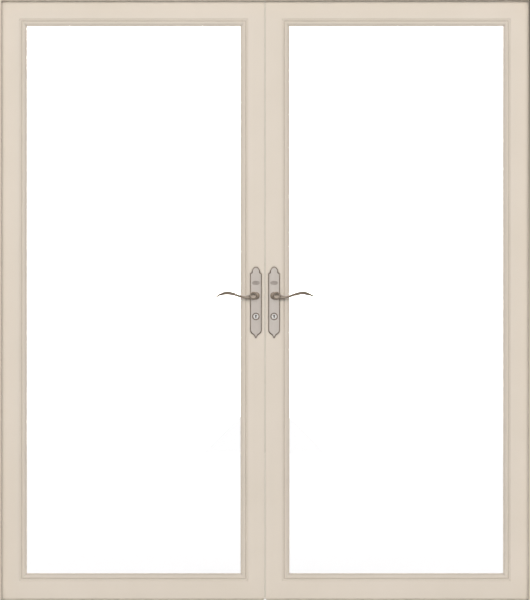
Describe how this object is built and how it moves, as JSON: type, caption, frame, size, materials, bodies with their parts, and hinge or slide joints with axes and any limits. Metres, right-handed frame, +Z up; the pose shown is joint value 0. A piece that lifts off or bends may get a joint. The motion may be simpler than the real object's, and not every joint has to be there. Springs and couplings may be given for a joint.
{
  "type": "french doors",
  "caption": "Pair of inward-opening glazed door leaves in a frame, with plates, waved levers, key cylinders, a latch, a deadbolt and shoot bolts.",
  "frame": {"origin": "under the middle of the sill, halfway through the frame's depth, at floor level", "axes": "+X across the doors to the right seen from outside, +Y from outside to inside, +Z up"},
  "size_m": [1.81, 0.1282, 2.019],
  "materials": {
    "leaf_finish": "sandstone powder coat, semi-matte",
    "frame_finish": "sandstone paint, semi-matte",
    "sill_metal": "mill anodised",
    "satin_nickel": "satin nickel plate",
    "clear_glass": "clear float",
    "spacer_metal": "satin",
    "key_metal": "mill",
    "glazing_rubber": "matte",
    "seal_vinyl": "matte",
    "hinge_nickel": "satin nickel plate",
    "screw_steel": "satin",
    "lock_steel": "zinc plate"
  },
  "bodies": {
    "frame": {"bolt_keepers": "lock_steel", "frame_head": "frame_finish", "frame_hinge_wings": "hinge_nickel", "frame_jamb_left": "frame_finish", "frame_jamb_right": "frame_finish", "frame_screws": "screw_steel", "frame_seals": "seal_vinyl", "frame_sill": "sill_metal", "frame_stops": "frame_finish", "hinge_pins": "hinge_nickel"},
    "left_leaf": {"left_bottom_rail": "leaf_finish", "left_corner_keys": "key_metal", "left_cylinder": "satin_nickel", "left_faceplate": "lock_steel", "left_glass_panes": "clear_glass", "left_glazing_beads": "leaf_finish", "left_glazing_rubbers": "glazing_rubber", "left_hinge_stile": "leaf_finish", "left_hinge_wings": "hinge_nickel", "left_inner_plate": "satin_nickel", "left_lock_case": "lock_steel", "left_lock_stile": "leaf_finish", "left_meeting_seal": "seal_vinyl", "left_outer_plate": "satin_nickel", "left_screws": "screw_steel", "left_spacer": "spacer_metal", "left_sweep": "seal_vinyl", "left_top_rail": "leaf_finish"},
    "right_leaf": {"right_bottom_rail": "leaf_finish", "right_corner_keys": "key_metal", "right_cylinder": "satin_nickel", "right_faceplate": "lock_steel", "right_glass_panes": "clear_glass", "right_glazing_beads": "leaf_finish", "right_glazing_rubbers": "glazing_rubber", "right_hinge_stile": "leaf_finish", "right_hinge_wings": "hinge_nickel", "right_inner_plate": "satin_nickel", "right_lock_case": "lock_steel", "right_lock_stile": "leaf_finish", "right_meeting_seal": "seal_vinyl", "right_outer_plate": "satin_nickel", "right_screws": "screw_steel", "right_spacer": "spacer_metal", "right_sweep": "seal_vinyl", "right_top_rail": "leaf_finish"},
    "left_lever_set": {"left_outer_lever": "satin_nickel", "left_inner_lever": "satin_nickel", "left_spindle": "lock_steel"},
    "right_lever_set": {"right_outer_lever": "satin_nickel", "right_inner_lever": "satin_nickel", "right_spindle": "lock_steel"},
    "left_key_set": {"left_key_plug": "satin_nickel", "left_thumb_turn": "satin_nickel"},
    "right_key_set": {"right_key_plug": "satin_nickel", "right_thumb_turn": "satin_nickel"},
    "top_shoot_bolt": {"left_top_bolt": "lock_steel"},
    "bottom_shoot_bolt": {"left_bottom_bolt": "lock_steel"},
    "latch_bolt": {"right_latch": "lock_steel"},
    "dead_bolt": {"right_deadbolt": "lock_steel"}
  },
  "joints": [
    {"name": "left_leaf_swing", "type": "hinge", "parent": "frame", "child": "left_leaf", "pos_m": [-0.87275, 0.0463, 1.0095], "axis": [0, 0, 1], "range_deg": [0, 105]},
    {"name": "left_lever_turn", "type": "hinge", "parent": "left_leaf", "child": "left_lever_set", "pos_m": [-0.02975, 0.0165, 1.0115], "axis": [0, 1, 0], "range_deg": [-45, 45], "stiffness_Nm_per_rad": 3, "springref_deg": 4.58},
    {"name": "left_key_turn", "type": "hinge", "parent": "left_leaf", "child": "left_key_set", "pos_m": [-0.02975, 0.0165, 0.9438], "axis": [0, 1, 0], "range_deg": [0, 90]},
    {"name": "right_leaf_swing", "type": "hinge", "parent": "frame", "child": "right_leaf", "pos_m": [0.87275, 0.0463, 1.0095], "axis": [0, 0, -1], "range_deg": [0, 105]},
    {"name": "right_lever_turn", "type": "hinge", "parent": "right_leaf", "child": "right_lever_set", "pos_m": [0.02975, 0.0165, 1.0115], "axis": [0, -1, 0], "range_deg": [-45, 45], "stiffness_Nm_per_rad": 3, "springref_deg": 4.58},
    {"name": "right_key_turn", "type": "hinge", "parent": "right_leaf", "child": "right_key_set", "pos_m": [0.02975, 0.0165, 0.9438], "axis": [0, -1, 0], "range_deg": [0, 90]},
    {"name": "top_bolt_slide", "type": "slide", "parent": "left_leaf", "child": "top_shoot_bolt", "axis": [0, 0, 1], "range_m": [-0.016, 0.016]},
    {"name": "bottom_bolt_slide", "type": "slide", "parent": "left_leaf", "child": "bottom_shoot_bolt", "axis": [0, 0, -1], "range_m": [-0.016, 0.016]},
    {"name": "latch_slide", "type": "slide", "parent": "right_leaf", "child": "latch_bolt", "axis": [-1, 0, 0], "range_m": [-0.012, 0.012]},
    {"name": "deadbolt_slide", "type": "slide", "parent": "right_leaf", "child": "dead_bolt", "axis": [-1, 0, 0], "range_m": [0, 0.02]}
  ],
  "couplings": [
    {"joint": "top_bolt_slide", "follows": "left_lever_turn", "m_per_rad": 0.02037},
    {"joint": "bottom_bolt_slide", "follows": "left_lever_turn", "m_per_rad": 0.02037},
    {"joint": "latch_slide", "follows": "right_lever_turn", "m_per_rad": 0.01527},
    {"joint": "right_key_turn", "follows": "deadbolt_slide", "rad_per_m": 78.53}
  ]
}
